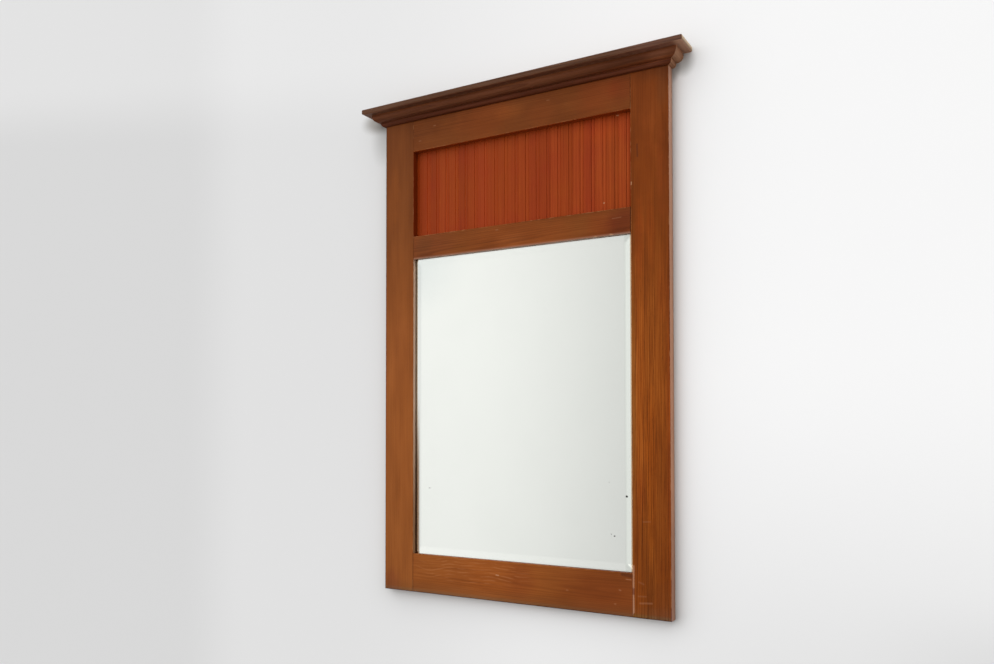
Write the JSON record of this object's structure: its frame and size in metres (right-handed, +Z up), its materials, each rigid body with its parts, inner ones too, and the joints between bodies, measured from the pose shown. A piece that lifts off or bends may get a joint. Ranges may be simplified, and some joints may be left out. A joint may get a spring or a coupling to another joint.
{
  "type": "wall mirror",
  "caption": "Oak wall mirror with a bevelled plate, a row of red-stained beaded slats above it, a moulded cornice, and swinging hanger rings set into its back.",
  "frame": {"origin": "on the wall plane, which is the frame's back face, on the centre line, at the height of the wall hooks", "axes": "+X to the viewer's right, +Y into the wall, +Z up; the mirror plate faces -Y"},
  "size_m": [0.894, 0.073, 1.2935],
  "materials": {
    "oak_frame": "satin varnish over stained oak",
    "dark_oak": "satin varnish over darker stained oak",
    "red_slat": "satin red-orange stain",
    "fillet_oak": "raw sawn oak",
    "mirror_plate": "polished, silvered behind",
    "pine": "raw softwood",
    "steel": "dull",
    "brass": "dull"
  },
  "bodies": {
    "mirror_frame": {"left_stile": "oak_frame", "right_stile": "oak_frame", "bottom_rail": "oak_frame", "middle_rail": "oak_frame", "top_rail": "oak_frame", "cap_board": "dark_oak", "crown_front": "dark_oak", "crown_left_return": "dark_oak", "crown_right_return": "dark_oak", "bead_front": "dark_oak", "bead_left_return": "dark_oak", "bead_right_return": "dark_oak", "panel_slat_1": "red_slat", "panel_slat_2": "red_slat", "panel_slat_3": "red_slat", "panel_slat_4": "red_slat", "panel_slat_5": "red_slat", "panel_slat_6": "red_slat", "panel_slat_7": "red_slat", "panel_slat_8": "red_slat", "panel_slat_9": "red_slat", "panel_slat_10": "red_slat", "panel_slat_11": "red_slat", "panel_slat_12": "red_slat", "panel_slat_13": "red_slat", "panel_slat_14": "red_slat", "panel_slat_15": "red_slat", "panel_slat_16": "red_slat", "panel_slat_17": "red_slat", "panel_slat_18": "red_slat", "panel_slat_19": "red_slat", "panel_slat_20": "red_slat", "panel_slat_21": "red_slat", "panel_slat_22": "red_slat", "panel_fillet_top": "fillet_oak", "panel_fillet_bottom": "fillet_oak", "panel_fillet_left": "fillet_oak", "panel_fillet_right": "fillet_oak", "mirror_plate": "mirror_plate", "plate_blocks": "pine", "backboard": "pine", "cap_screws": "steel", "fillet_brads": "steel", "backboard_screws": "steel", "hanger_screws": "steel", "left_hanger_plate": "brass", "right_hanger_plate": "brass"},
    "left_ring": {"left_hanger_ring": "brass"},
    "right_ring": {"right_hanger_ring": "brass"}
  },
  "joints": [
    {"name": "left_ring_swing", "type": "hinge", "parent": "mirror_frame", "child": "left_ring", "pos_m": [-0.354, -0.00396, -0.0095], "axis": [1, 0, 0], "range_deg": [0, 180]},
    {"name": "right_ring_swing", "type": "hinge", "parent": "mirror_frame", "child": "right_ring", "pos_m": [0.354, -0.00396, -0.0095], "axis": [1, 0, 0], "range_deg": [0, 180]}
  ]
}
